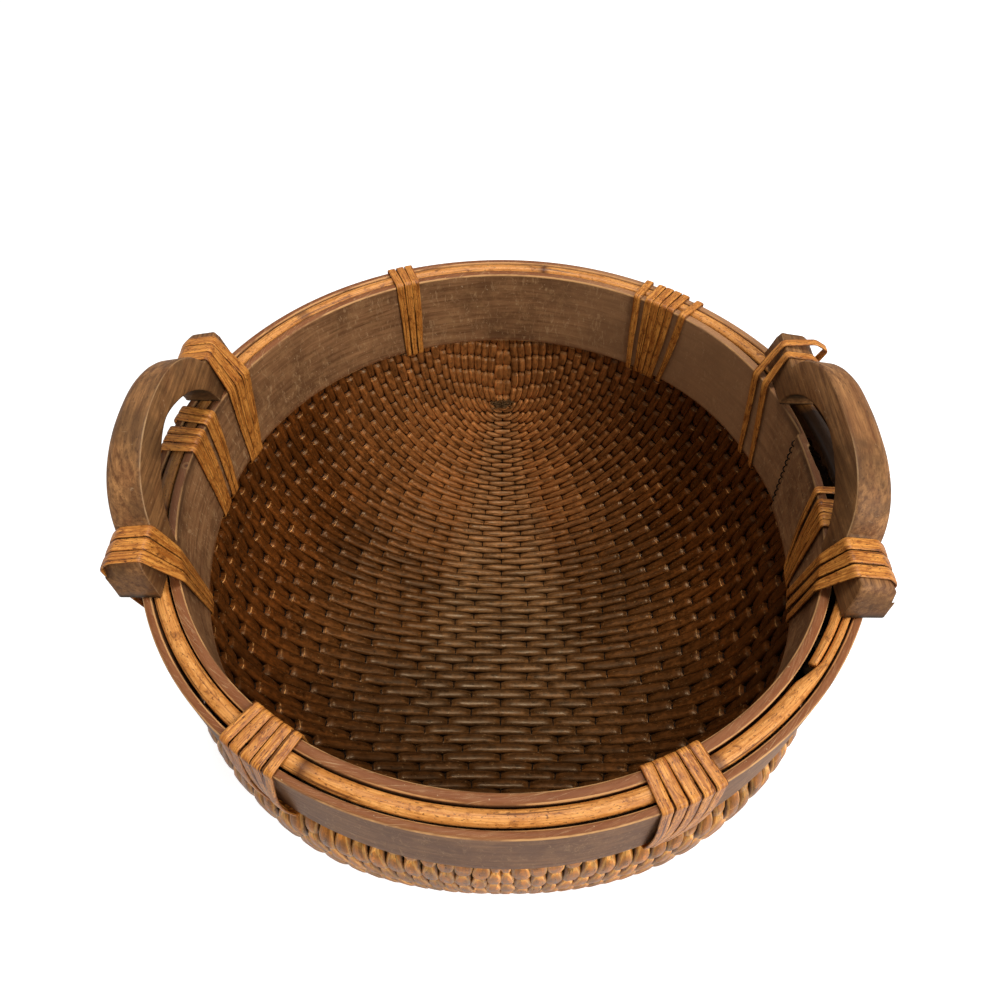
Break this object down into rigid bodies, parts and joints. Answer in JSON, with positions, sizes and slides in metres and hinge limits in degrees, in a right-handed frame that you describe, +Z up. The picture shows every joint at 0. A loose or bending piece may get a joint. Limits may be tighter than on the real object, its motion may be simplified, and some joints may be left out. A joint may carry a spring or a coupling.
{
  "type": "rice basket",
  "caption": "Deep round basket woven of rods, with a hooped rim, arched wooden handles lashed on top of it and a rounded bottom, for holding and carrying rice.",
  "frame": {"origin": "on the ground under the centre of the bowl and of the bounding box", "axes": "+Z up out of the mouth, +X towards the right-hand handle, so that the viewer of the picture stands on the -Y side"},
  "size_m": [0.4162, 0.42, 0.3153],
  "materials": {
    "woven_willow": "polished by use, satin",
    "bentwood": "worn, satin",
    "peeled_cane": "satin",
    "carved_wood": "worn, satin",
    "split_rattan": "satin",
    "hemp_thread": "matt"
  },
  "bodies": {
    "root": {"woven_bowl": "woven_willow", "inner_hoop": "bentwood", "outer_hoop": "bentwood", "cane_filler": "peeled_cane", "seam_stitching": "hemp_thread", "left_handle": "carved_wood", "right_handle": "carved_wood", "lashing_back_left": "split_rattan", "lashing_back_right": "split_rattan", "lashing_front_left": "split_rattan", "lashing_front_right": "split_rattan", "lashing_left_foot_far": "split_rattan", "lashing_left_rim_far": "split_rattan", "lashing_left_rim_near": "split_rattan", "lashing_left_foot_near": "split_rattan", "lashing_right_foot_far": "split_rattan", "lashing_right_rim": "split_rattan", "lashing_right_foot_near": "split_rattan"}
  },
  "joints": []
}
